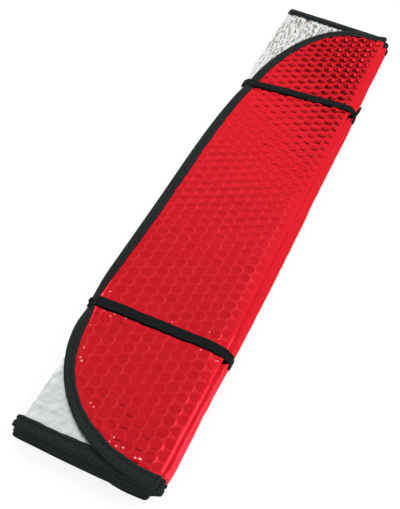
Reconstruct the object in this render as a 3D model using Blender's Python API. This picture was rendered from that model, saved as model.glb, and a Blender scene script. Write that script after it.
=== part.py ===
"""A folded car sunshade: foil bubble film pleated into a flat stack, bound with tape and held by two elastic straps.

The sheet is worked out as the real one is made. It is cut flat, its edges are crushed and bound, and it is creased
into panels that lie to and fro on each other. +X runs along the stack, +Y to the loose edge of the top panel.
"""

import math

import bmesh
import bpy
from mathutils import Vector
from mathutils.geometry import delaunay_2d_cdt

# The stack, in metres
SHADE_LENGTH = 0.600  # along X, over the binding
PANEL_WIDTH = 0.1184  # along Y, from crease to crease
LAYER_PITCH = 0.0035  # from one panel to the next, at the bound ends
RIGHT_CREASE_OUT = (0.0, 0.0035, 0.0045, -0.0050)  # how far each crease on the -Y side lies beyond the top one
LEFT_CREASE_OUT = (0.0, 0.0, 0.0010)  # the same for the creases on the +Y side
CREASE_STEPS = 6  # faces round each crease

# The bubble film
FILM_THICKNESS = 0.0026  # over the bubbles
CRUSHED_FILM = 0.0012  # in the valleys between bubbles, and where a crease or a seam has flattened them
BUBBLE_PITCH = 0.0114  # between neighbours, in rows along X
BUBBLE_TOP = 0.0082  # width of a bubble's flat top
BUBBLE_START = (0.0, 0.0016)  # X and Y of one bubble's middle
BUBBLE_MARGIN = 0.0006  # from a bubble's foot to the end of the open film
CREASE_BAND = 0.0085  # flat film on each side of a crease
CRUSH_RAMP = 0.0015  # from flat film to full bubbles

# The loose edges of the first and last panels
LOOSE_EDGE_OUT = 0.0020  # beyond the creases on that side
CORNER_START = 0.0005  # from a crease's flat film to where the corners begin to curve
NEAR_CORNER_LENGTH = 0.1045
NEAR_CORNER_SQUARENESS = 2.0  # 2 is an ellipse, more is squarer
FAR_CORNER_LENGTH = 0.301
FAR_CORNER_SQUARENESS = 2.4
CORNER_STEPS = 14  # faces round each corner

# The binding tape, folded over the sheet's edge
TAPE_WIDTH = 0.0105  # on each side of the sheet
TAPE_THICKNESS = 0.0005
TAPE_CLEARANCE = 0.0003  # to the film inside it
TAPE_NOSE = 0.0010  # depth of its round front
NOSE_STEPS = 4  # faces round the front

# The elastic straps
STRAP_WIDTH = 0.0098
STRAP_THICKNESS = 0.0010
STRAP_CLEARANCE = 0.0003  # to what the strap goes round
NEAR_STRAP_X = -0.1735
FAR_STRAP_X = 0.1540
NEAR_STRAP_SLANT = math.radians(0)  # off square to the stack
FAR_STRAP_SLANT = math.radians(-6.45)
STRAP_TURN = math.radians(30)  # a sharper corner than this gets a round bend

# What follows from the sizes above
PANEL_COUNT = len(RIGHT_CREASE_OUT) + len(LEFT_CREASE_OUT) + 1
CREASE_RADIUS = LAYER_PITCH / 2
HALF_FILM = FILM_THICKNESS / 2
HALF_CRUSHED = CRUSHED_FILM / 2
HALF_BOUND = HALF_CRUSHED + TAPE_CLEARANCE + TAPE_THICKNESS
BOTTOM_PANEL_Z = STRAP_THICKNESS + STRAP_CLEARANCE + HALF_BOUND
LOOSE_EDGE_Y = PANEL_WIDTH / 2 + LOOSE_EDGE_OUT
CREASE_REACH = CREASE_RADIUS + HALF_CRUSHED + CREASE_BAND + CRUSH_RAMP  # from a crease's front to full bubbles
HALF_LENGTH = SHADE_LENGTH / 2
RED, SILVER = 1, -1  # the two faces of the film
TOP_PANEL, SECOND_PANEL, BOTTOM_PANEL = 0, 1, PANEL_COUNT - 1
BUBBLED_FACES = {(TOP_PANEL, RED), (SECOND_PANEL, SILVER), (BOTTOM_PANEL, RED)}  # the ones open to view
UP = Vector((0, 0, 1))


def clear_scene():
    for obj in list(bpy.data.objects):
        bpy.data.objects.remove(obj, do_unlink=True)


def make_material(name, color, roughness, metallic):
    material = bpy.data.materials.new(name)
    material.use_nodes = True
    shader = material.node_tree.nodes["Principled BSDF"]
    shader.inputs["Base Color"].default_value = (*color, 1)
    shader.inputs["Roughness"].default_value = roughness
    shader.inputs["Metallic"].default_value = metallic
    return material


def add_object(name, bm, material):
    """A named object from a bmesh, shaded smooth apart from its sharp edges."""
    bmesh.ops.recalc_face_normals(bm, faces=bm.faces)
    mesh = bpy.data.meshes.new(name)
    bm.to_mesh(mesh)
    bm.free()
    mesh.materials.append(material)
    mesh.shade_smooth()
    mesh.set_sharp_from_angle(angle=math.radians(35))
    obj = bpy.data.objects.new(name, mesh)
    bpy.context.scene.collection.objects.link(obj)
    return obj


class Station:
    """A place on the sheet's middle surface: where it is, the way the red face looks, and the way into the sheet."""

    def __init__(self, place, red, inward, panel):
        self.place = place
        self.red = red
        self.inward = inward
        self.panel = panel  # None on a crease

    def at(self, depth, offset):
        return self.place + self.inward * depth + self.red * offset

    def half_film(self, face):
        """From the middle to a face. Film is thin on a crease, and between bubbles that are modelled one by one."""
        return HALF_CRUSHED if self.panel is None or (self.panel, face) in BUBBLED_FACES else HALF_FILM


def panel_height(panel):
    return BOTTOM_PANEL_Z + (PANEL_COUNT - 1 - panel) * LAYER_PITCH


def red_side(panel):
    """The red face looks up on every other panel, the top one first."""
    return UP if panel % 2 == 0 else -UP


def crease_centre(crease):
    """The side that a crease is on, and the middle of its bend in Y and Z."""
    side = -1 if crease % 2 == 0 else 1
    out = (RIGHT_CREASE_OUT if side < 0 else LEFT_CREASE_OUT)[crease // 2]
    y = side * (PANEL_WIDTH / 2 + out - CREASE_RADIUS - HALF_CRUSHED)
    z = (panel_height(crease) + panel_height(crease + 1)) / 2
    return side, y, z


def pleat_section():
    """The sheet's middle line across the stack: (y, z, the way the red face looks, panel or None on a crease)."""
    line = []
    for crease in range(PANEL_COUNT - 1):
        side, y, z = crease_centre(crease)
        above, below = panel_height(crease), panel_height(crease + 1)
        band = y - side * CREASE_BAND
        ramp = band - side * CRUSH_RAMP
        line.append((ramp, above, red_side(crease), crease))
        line.append((band, above, red_side(crease), None))
        for step in range(CREASE_STEPS + 1):
            turn = math.pi * step / CREASE_STEPS
            out = Vector((0, side * math.sin(turn), math.cos(turn)))
            middle = Vector((0, y, z)) + out * CREASE_RADIUS
            line.append((middle.y, middle.z, -side * out, None))
        line.append((band, below, red_side(crease + 1), None))
        line.append((ramp, below, red_side(crease + 1), crease + 1))
    return line


def corner_width(panel):
    """Width of the rounded corners of an end panel: all that its crease leaves."""
    crease_out = RIGHT_CREASE_OUT[0] if panel == TOP_PANEL else RIGHT_CREASE_OUT[-1]
    return LOOSE_EDGE_Y + PANEL_WIDTH / 2 + crease_out - CREASE_REACH - CORNER_START


def corner_point(turn, side, length, width, squareness):
    """A point of a rounded corner and the way into the sheet there. turn goes from the end of the stack to its edge."""
    c, s = math.cos(turn), math.sin(turn)
    along, across = abs(c) ** (2 / squareness), abs(s) ** (2 / squareness)
    place = (side * (HALF_LENGTH - length * (1 - along)), LOOSE_EDGE_Y - width * (1 - across))
    slope_x = side * along ** (squareness - 1) / length
    slope_y = across ** (squareness - 1) / width
    steepness = math.hypot(slope_x, slope_y)
    return place, (-slope_x / steepness, -slope_y / steepness)


def loose_edge_outline(panel):
    """An end panel's outline in X and Y, from its near end round to its far end, with the way into the sheet."""
    width = corner_width(panel)
    outline = []
    turns = [math.pi / 2 * step / CORNER_STEPS for step in range(CORNER_STEPS + 1)]
    near = [corner_point(turn, -1, NEAR_CORNER_LENGTH, width, NEAR_CORNER_SQUARENESS) for turn in turns]
    far = [corner_point(turn, 1, FAR_CORNER_LENGTH, width, FAR_CORNER_SQUARENESS) for turn in reversed(turns)]
    return near + far


def end_stations(end):
    """Stations along one end of the stack, from the top panel to the bottom one. end is -1 near, 1 far."""
    inward = Vector((-end, 0, 0))
    return [Station(Vector((end * HALF_LENGTH, y, z)), red, inward, panel)
            for y, z, red, panel in pleat_section()]


def loose_edge_stations(panel):
    """Stations round the loose edge of the first or last panel, from its near end to its far end."""
    return [Station(Vector((x, y, panel_height(panel))), red_side(panel), Vector((dx, dy, 0)), panel)
            for (x, y), (dx, dy) in loose_edge_outline(panel)]


def sheet_edge():
    """Stations all round the sheet's edge: near end, bottom panel's loose edge, far end, top panel's loose edge."""
    near, far = end_stations(-1), end_stations(1)
    return near + loose_edge_stations(PANEL_COUNT - 1) + far[::-1] + loose_edge_stations(0)[::-1]


def bridge(bm, loop_a, loop_b):
    """Quads between two closed rows of vertices."""
    count = len(loop_a)
    for i in range(count):
        j = (i + 1) % count
        bm.faces.new((loop_a[i], loop_a[j], loop_b[j], loop_b[i]))


def make_binding(material):
    """The tape: a channel that holds the sheet's edge, closed on itself all round."""
    gap = HALF_CRUSHED + TAPE_CLEARANCE
    section = [(TAPE_WIDTH, gap), (TAPE_WIDTH, HALF_BOUND)]
    for step in range(NOSE_STEPS + 1):
        turn = math.pi * step / NOSE_STEPS
        section.append((TAPE_NOSE * (1 - math.sin(turn)), HALF_BOUND * math.cos(turn)))
    section += [(TAPE_WIDTH, -HALF_BOUND), (TAPE_WIDTH, -gap), (TAPE_NOSE, -gap), (TAPE_NOSE, gap)]
    edge = sheet_edge()
    bm = bmesh.new()
    loops = [[bm.verts.new(station.at(depth, offset)) for station in edge] for depth, offset in section]
    for loop_a, loop_b in zip(loops, loops[1:] + loops[:1]):
        bridge(bm, loop_a, loop_b)
    return add_object("edge_binding", bm, material)


def make_sheet(material):
    """The bubble film, pleated into one solid: thin at its edges, creases and valleys, full where bubbles stand."""
    edge = sheet_edge()
    bm = bmesh.new()
    rims = []
    for face in (RED, SILVER):
        thin = [HALF_CRUSHED for _ in edge]
        full = [station.half_film(face) for station in edge]
        rings = [(TAPE_NOSE + TAPE_CLEARANCE, thin), (TAPE_WIDTH + TAPE_CLEARANCE, thin),
                 (TAPE_WIDTH + TAPE_CLEARANCE + CRUSH_RAMP, full)]
        loops = [[bm.verts.new(station.at(depth, face * half)) for station, half in zip(edge, halves)]
                 for depth, halves in rings]
        for loop_a, loop_b in zip(loops, loops[1:]):
            bridge(bm, loop_a, loop_b)
        fill_panels(bm, loops[-1], face)
        rims.append(loops[0])
    bridge(bm, *rims)
    return add_object("folded_sheet", bm, material)


def fill_panels(bm, ring, face):
    """Closes one face of the film inside the ring, strip by strip across the stack, with bubbles where they show."""
    panels = [panel for *_, panel in pleat_section()]
    ends = len(panels)
    corners = 2 * (CORNER_STEPS + 1)
    near = ring[:ends]
    bottom = ring[ends:ends + corners]
    far = ring[ends + corners:2 * ends + corners][::-1]
    top = ring[2 * ends + corners:]
    for i in range(ends - 1):
        strip = [near[i], near[i + 1], far[i + 1], far[i]]
        if panels[i] == panels[i + 1] == SECOND_PANEL and (SECOND_PANEL, face) in BUBBLED_FACES:
            add_bubbles(bm, strip, BUBBLE_TOP, lambda x, y: y > loose_edge_at(TOP_PANEL, x) - TAPE_WIDTH)
        else:
            bm.faces.new(strip)
    for panel, loop, top_width in ((TOP_PANEL, [far[0], *top, near[0]], BUBBLE_TOP),
                                   (BOTTOM_PANEL, [near[-1], *bottom, far[-1]], 0)):
        if (panel, face) in BUBBLED_FACES:
            add_bubbles(bm, loop, top_width)
        else:
            bm.faces.new(loop)


def bubble_cells():
    """The honeycomb over the whole sheet: each cell's six corners, in half pitches along X and thirds of a row."""
    reach_x = math.ceil(SHADE_LENGTH / BUBBLE_PITCH)
    reach_y = math.ceil(PANEL_WIDTH / BUBBLE_PITCH)
    for row in range(-reach_y, reach_y + 1):
        for place in range(-reach_x, reach_x + 1):
            x, y = 2 * place + row % 2, 3 * row
            yield [(x + dx, y + dy) for dx, dy in ((1, 1), (0, 2), (-1, 1), (-1, -1), (0, -2), (1, -1))]


def honeycomb_place(corner):
    return Vector((BUBBLE_START[0] + corner[0] * BUBBLE_PITCH / 2,
                   BUBBLE_START[1] + corner[1] * BUBBLE_PITCH / (2 * math.sqrt(3))))


def is_inside(point, outline):
    """Whether a point is inside an outline, by the edges that a line from it crosses."""
    crossings = 0
    for a, b in zip(outline, outline[1:] + outline[:1]):
        if (a.y > point.y) != (b.y > point.y):
            crossings += point.x < a.x + (point.y - a.y) / (b.y - a.y) * (b.x - a.x)
    return crossings % 2 == 1


def add_bubbles(bm, loop, top_width, wanted=lambda x, y: True):
    """Closes a flat loop with film that rises to a bubble in every wanted cell of the honeycomb that fits inside.
    A bubble without a top width is a plain peak, for the face that lies on the ground."""
    outline = [vert.co.xy for vert in loop]
    valley = loop[0].co.z
    panel_middle = min((panel_height(panel) for panel in range(PANEL_COUNT)), key=lambda z: abs(z - valley))
    crest = panel_middle + math.copysign(HALF_FILM, valley - panel_middle)
    points, heights, edges, known = list(outline), [valley] * len(outline), set(), {}
    for cell in bubble_cells():
        foot = [honeycomb_place(corner) for corner in cell]
        middle = sum(foot, Vector((0, 0))) / 6
        if not wanted(middle.x, middle.y):
            continue
        if not all(is_inside(p + (p - middle).normalized() * BUBBLE_MARGIN, outline) for p in foot):
            continue
        for corner, p in zip(cell, foot):
            if corner not in known:
                known[corner] = len(points)
                points.append(p)
                heights.append(valley)
        rim = [known[corner] for corner in cell]
        edges |= {(min(pair), max(pair)) for pair in zip(rim, rim[1:] + rim[:1])}
        top = [middle.lerp(p, top_width / BUBBLE_PITCH) for p in foot] if top_width else [middle]
        first = len(points)
        points += top
        heights += [crest] * len(top)
        edges |= {(first + i, first + (i + 1) % len(top)) for i in range(len(top)) if top_width}
    boundary = list(range(len(outline)))
    places, _, triangles, sources, _, _ = delaunay_2d_cdt(points, list(edges), [boundary], 1, 1e-7)
    verts = [loop[source[0]] if source[0] < len(loop) else bm.verts.new((*place, heights[source[0]]))
             for place, source in zip(places, sources)]
    for triangle in triangles:
        bm.faces.new([verts[i] for i in triangle])


def outer_hull(points):
    """The convex hull of points in Y and Z, as corners in turning order."""
    points = sorted(set(points))
    half = []
    for sweep in (points, points[::-1]):
        chain = []
        for p in sweep:
            while len(chain) > 1 and turns_right(chain[-2], chain[-1], p):
                chain.pop()
            chain.append(p)
        half.append(chain[:-1])
    return half[0] + half[1]


def turns_right(a, b, c):
    return (b[0] - a[0]) * (c[1] - a[1]) - (b[1] - a[1]) * (c[0] - a[0]) <= 0


def loose_edge_at(panel, x):
    """Y of an end panel's loose edge at a place along the stack."""
    for side, length, squareness in ((-1, NEAR_CORNER_LENGTH, NEAR_CORNER_SQUARENESS),
                                     (1, FAR_CORNER_LENGTH, FAR_CORNER_SQUARENESS)):
        past = (side * x - HALF_LENGTH + length) / length
        if past > 0:
            rise = (1 - min(past, 1) ** squareness) ** (1 / squareness)
            return LOOSE_EDGE_Y - corner_width(panel) * (1 - rise)
    return LOOSE_EDGE_Y


def stack_outline(x):
    """Corners of the outside of the stack at x, in Y and Z, where the strap keeps level across the end panels."""
    points = []
    for y, z, red, panel in pleat_section():
        half = HALF_CRUSHED if panel is None else HALF_BOUND
        points += [(y + face * red.y * half, z + face * red.z * half) for face in (RED, SILVER)]
    for panel in (TOP_PANEL, BOTTOM_PANEL):
        loose = max(loose_edge_at(panel, x - STRAP_WIDTH / 2), loose_edge_at(panel, x + STRAP_WIDTH / 2))
        points += [(y, panel_height(panel) + side * HALF_BOUND) for side in (1, -1)
                   for y in (loose, loose - TAPE_WIDTH)]
    return outer_hull(points)


def strap_path(hull, gap):
    """The strap's line in Y and Z at a gap from the stack: straight runs, and a round bend at each corner."""
    path = []
    for before, corner, after in zip(hull[-1:] + hull[:-1], hull, hull[1:] + hull[:1]):
        start = math.atan2(corner[1] - before[1], corner[0] - before[0]) - math.pi / 2
        end = math.atan2(after[1] - corner[1], after[0] - corner[0]) - math.pi / 2
        turn = (end - start) % (2 * math.pi)
        steps = int(turn / STRAP_TURN)
        angles = [start + turn * step / steps for step in range(steps + 1)] if steps else [start + turn / 2]
        reach = gap if steps else gap / math.cos(turn / 2)
        path += [(corner[0] + reach * math.cos(angle), corner[1] + reach * math.sin(angle)) for angle in angles]
    return path


def make_strap(name, x, slant, material):
    """A flat elastic loop, drawn tight round the stack."""
    slope = math.tan(slant)
    hull = stack_outline(x + slope * LOOSE_EDGE_Y)
    inner = strap_path(hull, STRAP_CLEARANCE)
    outer = strap_path(hull, STRAP_CLEARANCE + STRAP_THICKNESS)
    bm = bmesh.new()
    loops = [[bm.verts.new((x + slope * y + side * STRAP_WIDTH / 2, y, z)) for y, z in path]
             for path, side in ((inner, -1), (outer, -1), (outer, 1), (inner, 1))]
    for loop_a, loop_b in zip(loops, loops[1:] + loops[:1]):
        bridge(bm, loop_a, loop_b)
    return add_object(name, bm, material)


def centre_over_origin(objects):
    """Moves everything so that the stack stands on the ground plane with the middle of its box over the origin."""
    points = [v.co for obj in objects for v in obj.data.vertices]
    low = [min(p[axis] for p in points) for axis in range(3)]
    high = [max(p[axis] for p in points) for axis in range(3)]
    move = Vector((-(low[0] + high[0]) / 2, -(low[1] + high[1]) / 2, -low[2]))
    for obj in objects:
        for v in obj.data.vertices:
            v.co += move


def main():
    clear_scene()
    foil = make_material("red_foil", (0.60, 0.012, 0.020), 0.30, 0.75)
    tape = make_material("black_tape", (0.010, 0.011, 0.012), 0.85, 0.0)
    elastic = make_material("black_elastic", (0.012, 0.012, 0.014), 0.75, 0.0)
    centre_over_origin([
        make_sheet(foil),
        make_binding(tape),
        make_strap("near_strap", NEAR_STRAP_X, NEAR_STRAP_SLANT, elastic),
        make_strap("far_strap", FAR_STRAP_X, FAR_STRAP_SLANT, elastic),
    ])


main()
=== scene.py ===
"""Looks of a folded car sunshade: metallised bubble film, woven binding tape and two elastic straps.

The film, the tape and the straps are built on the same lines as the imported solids, in metres, and stand in for them.
"""

import math

import bmesh
import bpy
import numpy as np
from bpy.props import FloatProperty, FloatVectorProperty, PointerProperty
from mathutils import Matrix, Vector
from mathutils.geometry import delaunay_2d_cdt


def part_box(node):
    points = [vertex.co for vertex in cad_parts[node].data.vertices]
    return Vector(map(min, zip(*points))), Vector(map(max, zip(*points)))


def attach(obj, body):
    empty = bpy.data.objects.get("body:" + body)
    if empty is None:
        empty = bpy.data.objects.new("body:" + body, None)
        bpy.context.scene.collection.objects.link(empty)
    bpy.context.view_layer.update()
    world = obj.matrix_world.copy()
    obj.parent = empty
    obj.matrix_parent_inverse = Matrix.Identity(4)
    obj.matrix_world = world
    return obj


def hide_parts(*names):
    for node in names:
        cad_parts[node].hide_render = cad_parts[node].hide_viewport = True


bl_info = {
    "name": "Folded Car Sunshade",
    "version": (1, 0, 0),
    "blender": (4, 5, 0),
    "location": "View3D > Sidebar > Sunshade",
    "description": "Builds a folded car sunshade with its film, binding tape, straps and studio",
    "category": "Add Mesh",
}

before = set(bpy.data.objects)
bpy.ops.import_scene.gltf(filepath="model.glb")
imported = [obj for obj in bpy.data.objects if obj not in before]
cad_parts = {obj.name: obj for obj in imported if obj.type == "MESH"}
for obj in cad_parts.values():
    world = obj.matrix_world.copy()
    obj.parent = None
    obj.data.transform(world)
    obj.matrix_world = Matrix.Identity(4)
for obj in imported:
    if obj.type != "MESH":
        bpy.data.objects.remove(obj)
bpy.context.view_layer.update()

MM = 0.001
RED, SILVER = 1, -1  # the two faces of the film

# The stack, the same as in the solids
HALF_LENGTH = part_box("edge_binding")[1][0]
PANEL_COUNT = 8
CREASE_COUNT = PANEL_COUNT - 1
TOP_PANEL, SECOND_PANEL, NEXT_TO_BOTTOM, BOTTOM_PANEL = 0, 1, 6, 7
PANEL_WIDTH = 118.4 * MM
LAYER_PITCH = 3.5 * MM
RIGHT_CREASE_OUT = (0.0, 3.5 * MM, 4.5 * MM, -5.0 * MM)  # how far each crease stands out, from the top down
LEFT_CREASE_OUT = (0.0, 0.0, 1.0 * MM)
CREASE_REACH = 12.35 * MM  # from a crease's front to full bubbles
CREASE_RADIUS = LAYER_PITCH / 2
HALF_CRUSHED = 0.6 * MM  # half the film's thickness where it is crushed flat
HALF_BOUND = 1.4 * MM  # half the thickness of a bound edge
BOTTOM_PANEL_Z = 2.7 * MM
TAPE_TOP = 28.6 * MM
LOOSE_EDGE_Y = PANEL_WIDTH / 2 + 2 * MM
CENTRE_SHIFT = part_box("edge_binding")[1][1] - LOOSE_EDGE_Y  # the solids are centred over the origin
CORNER_START = 0.5 * MM  # from full bubbles to the start of the corner curves
NEAR_CORNER_LENGTH = 104.5 * MM
NEAR_CORNER_SQUARENESS = 1.94  # 2 is an ellipse, and more is squarer
FAR_CORNER_LENGTH = 301 * MM
FAR_CORNER_SQUARENESS = 2.46
TAPE_WIDTH = 10.5 * MM
FILM_EDGE = 1.3 * MM  # from the tape's front to the film's edge inside it
STRAP_WIDTH = 9.0 * MM
NEAR_STRAP_X = -173.5 * MM
NEAR_STRAP_SLANT = math.radians(-1.1)
FAR_STRAP_X = 154 * MM
FAR_STRAP_SLANT = math.radians(-6.45)

# The film's honeycomb of bubbles
BUBBLE_START = (6.7 * MM, 1.94 * MM)  # one bubble's middle
ROW_SHARE = math.sqrt(3) / 2  # from row to row, as a share of the pitch
SAG = (-0.215, -0.977)  # the way the flat bubbles lean
BULGE = (0.95, 0.30)  # the way the round bubbles lean
ROUND_SLANT = 0.9  # how far along the stack the start of the round bubbles moves for each step across it
FAR_SLANT = 1.6  # the same for the film drawn up at the far corner
COARSE = 22 * MM  # between the mesh points of a hidden face

UP = Vector((0, 0, 1))
DARKEST = (-0.46, 0.34, 0.82)  # the middle of the dark ceiling, up and behind the camera's left
WAVES_PER_METRE = 3.2  # in Blender's wave texture at a scale of 1


def linear(hex_colour):
    """An sRGB hex colour as linear red, green and blue."""
    values = [int(hex_colour[i:i + 2], 16) / 255 for i in (1, 3, 5)]
    return [v / 12.92 if v <= 0.04045 else ((v + 0.055) / 1.055) ** 2.4 for v in values]


def colour_property(name, hex_colour, description):
    """A colour that a user may change."""
    return FloatVectorProperty(name=name, description=description, subtype="COLOR", size=3, min=0, max=1,
                               default=linear(hex_colour))


def length_property(name, millimetres, description):
    """A length that a user may change."""
    return FloatProperty(name=name, description=description, subtype="DISTANCE", unit="LENGTH", precision=5,
                         default=millimetres * MM)


class FilmSettings(bpy.types.PropertyGroup):
    pitch: length_property("Bubble pitch", 10.8, "Distance between neighbouring bubbles")
    radius: length_property("Bubble radius", 5.25, "From a bubble's middle to its foot")
    height: length_property("Bubble height", 0.065, "How far a flat bubble stands out of the valleys")
    dome: length_property("Dome", 1.90, "How much higher the round bubbles of the far half stand")
    crinkle: length_property("Crinkle", 0.05, "Depth of the crumples in the foil")
    red: colour_property("Red face", "#EE2230", "Colour of the red metallic face")
    silver: colour_property("Silver face", "#F3F6F6", "Colour of the plain metallic face")


class TapeSettings(bpy.types.PropertyGroup):
    stitch: length_property("Stitch length", 3.3, "From one stitch to the next")
    seam_depth: length_property("Seam depth", 6.6, "From the tape's front to its seam")
    colour: colour_property("Tape", "#191F1F", "Colour of the woven tape")
    thread: colour_property("Thread", "#0B0E0F", "Colour of the sewing thread")


class StrapSettings(bpy.types.PropertyGroup):
    thickness: length_property("Strap thickness", 1.0, "Thickness of the elastic")
    rib: length_property("Rib", 0.95, "From one lengthwise rib of the elastic to the next")
    colour: colour_property("Elastic", "#131818", "Colour of the knitted elastic")


class StudioSettings(bpy.types.PropertyGroup):
    floor: colour_property("Floor", "#F4F4F4", "Colour of the floor")
    walls: FloatProperty(name="Walls", description="Brightness of the studio's white walls", default=1.0, min=0)
    ceiling: FloatProperty(name="Ceiling", description="Brightness of the ceiling's edges", default=0.76, min=0)
    overhead: FloatProperty(name="Overhead", description="Brightness of the ceiling's middle", default=0.05, min=0)


# Numbers in patterns. The last number of a call of ripple or chance is its seed.

def smooth(value, start, end):
    """0 before start and 1 after end, with a soft change between them."""
    t = np.clip((value - start) / (end - start), 0, 1)
    return t * t * (3 - 2 * t)


def bell(value, middle, width):
    """1 at middle, and falling away on both sides over about width."""
    return np.exp(-((value - middle) / width) ** 2)


def ripple(x, y, size, seed):
    """Soft random hills between -1 and 1, about size metres apart."""
    cells = 97
    table = np.random.default_rng(seed).uniform(-1, 1, (cells, cells))
    u, v = np.asarray(x) / size + 500, np.asarray(y) / size + 500
    i, j = np.floor(u).astype(int), np.floor(v).astype(int)
    fu, fv = u - i, v - j
    fu, fv = fu * fu * (3 - 2 * fu), fv * fv * (3 - 2 * fv)

    def corner(a, b):
        return table[(i + a) % cells, (j + b) % cells]

    return ((corner(0, 0) * (1 - fu) + corner(1, 0) * fu) * (1 - fv)
            + (corner(0, 1) * (1 - fu) + corner(1, 1) * fu) * fv)


def chance(i, j, seed):
    """A random number from 0 to 1 for each cell of a grid."""
    value = np.sin(i * 127.1 + j * 311.7 + seed * 74.7) * 43758.5453
    return value - np.floor(value)


# The lines of the stack

def panel_height(panel):
    """Z of a panel's middle."""
    return BOTTOM_PANEL_Z + (PANEL_COUNT - 1 - panel) * LAYER_PITCH


def red_side(panel):
    """The way that a panel's red face looks."""
    return UP if panel % 2 == 0 else -UP


def crease_centre(crease):
    """The side that a crease is on, and the middle of its bend in Y and Z."""
    side = -1 if crease % 2 == 0 else 1
    out = (RIGHT_CREASE_OUT if side < 0 else LEFT_CREASE_OUT)[crease // 2]
    y = side * (PANEL_WIDTH / 2 + out - CREASE_RADIUS - HALF_CRUSHED)
    return side, y, (panel_height(crease) + panel_height(crease + 1)) / 2


def corner_width(panel):
    """How far the corner curves reach across an end panel."""
    out = RIGHT_CREASE_OUT[0] if panel == TOP_PANEL else RIGHT_CREASE_OUT[-1]
    return LOOSE_EDGE_Y + PANEL_WIDTH / 2 + out - CREASE_REACH - CORNER_START


def pleat_section(step, roll_steps):
    """The sheet's middle line across the stack: (y, z, the way the red face looks, panel or None on a crease)."""
    line = []
    corner = LOOSE_EDGE_Y - corner_width(TOP_PANEL)
    for crease in range(CREASE_COUNT):
        side, y, z = crease_centre(crease)
        above = panel_height(crease)
        start = corner if crease == 0 else line[-1][0]
        count = max(2, round(abs(y - start) / step))
        line += [(start + (y - start) * i / count, above, red_side(crease), crease)
                 for i in range(0 if crease == 0 else 1, count)]
        for i in range(roll_steps + 1):
            turn = math.pi * i / roll_steps
            out = Vector((0, side * math.sin(turn), math.cos(turn)))
            middle = Vector((0, y, z)) + out * CREASE_RADIUS
            line.append((middle.y, middle.z, -side * out, None))
    start, end = line[-1][0], LOOSE_EDGE_Y - corner_width(BOTTOM_PANEL)
    count = max(2, round(abs(end - start) / step))
    line += [(start + (end - start) * i / count, panel_height(BOTTOM_PANEL), red_side(BOTTOM_PANEL), BOTTOM_PANEL)
             for i in range(1, count + 1)]
    return line


def corner_point(turn, side, length, width, squareness):
    """A point of a rounded corner and the way into the sheet there."""
    c, s = math.cos(turn), math.sin(turn)
    along, across = abs(c) ** (2 / squareness), abs(s) ** (2 / squareness)
    slope_x, slope_y = side * along ** (squareness - 1) / length, across ** (squareness - 1) / width
    steepness = math.hypot(slope_x, slope_y)
    return ((side * (HALF_LENGTH - length * (1 - along)), LOOSE_EDGE_Y - width * (1 - across)),
            (-slope_x / steepness, -slope_y / steepness))


def loose_edge_outline(panel, steps):
    """An end panel's outline in X and Y, from its near end round to its far end, with the way into the sheet."""
    width = corner_width(panel)
    near = [corner_point(math.pi / 2 * i / steps, -1, NEAR_CORNER_LENGTH, width, NEAR_CORNER_SQUARENESS)
            for i in range(1, steps + 1)]
    far = [corner_point(math.pi / 2 * i / steps, 1, FAR_CORNER_LENGTH, width, FAR_CORNER_SQUARENESS)
           for i in range(steps, 0, -1)]
    straight = np.linspace(near[-1][0][0], far[0][0][0], steps * 4 // 5 + 2)[1:-1]
    return near + [((float(x), LOOSE_EDGE_Y), (0.0, -1.0)) for x in straight] + far


def loose_edge_at(panel, x):
    """Y of an end panel's loose edge at places along the stack."""
    y = np.full_like(x, LOOSE_EDGE_Y)
    for side, length, squareness in ((-1, NEAR_CORNER_LENGTH, NEAR_CORNER_SQUARENESS),
                                     (1, FAR_CORNER_LENGTH, FAR_CORNER_SQUARENESS)):
        past = np.clip((side * x - HALF_LENGTH + length) / length, 0, 1)
        y -= corner_width(panel) * (1 - (1 - past ** squareness) ** (1 / squareness))
    return y


def far_strap_at(y):
    """X of the slanting far strap's middle at places across the stack."""
    return FAR_STRAP_X + math.tan(FAR_STRAP_SLANT) * y


def past_line(x, y, slant, start, end):
    """0 to 1 across a band that slants over the stack, from start to end millimetres along its middle."""
    return smooth(x - slant * y, start * MM, end * MM)


def tape_share(x, y):
    """The tape's width at a place, as a share of its full width: it is sewn on a little narrower towards the far
    end, and wider over the near end's folds than along the near curve."""
    near_end = smooth(-x, 190 * MM, 250 * MM)
    right = smooth(-y, -30 * MM, 5 * MM)
    curve = 1 - smooth(-x, 280 * MM, 296 * MM)
    return 0.93 - 0.05 * smooth(x, -50 * MM, 200 * MM) + 0.11 * near_end * (right - (1 - right) * curve)


class Station:
    """A place on the sheet's edge: where it is, the way the red face looks, and the way into the sheet."""

    def __init__(self, place, red, inward):
        self.place = place
        self.red = red
        self.inward = inward

    def at(self, depth, offset):
        return self.place + self.inward * depth + self.red * offset


def sheet_edge(step, roll_steps, corner_steps):
    """Stations round the sheet in four runs: near end, bottom panel's loose edge, far end and top panel's."""
    ends = [[Station(Vector((end * HALF_LENGTH, y, z)), red, Vector((-end, 0, 0)))
             for y, z, red, _ in pleat_section(step, roll_steps)] for end in (-1, 1)]
    loose = [[Station(Vector((x, y, panel_height(panel))), red_side(panel), Vector((dx, dy, 0)))
              for (x, y), (dx, dy) in loose_edge_outline(panel, corner_steps)] for panel in (TOP_PANEL, BOTTOM_PANEL)]
    return ends[0], loose[1], ends[1][::-1], loose[0][::-1]


# How the real stack has settled

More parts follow.
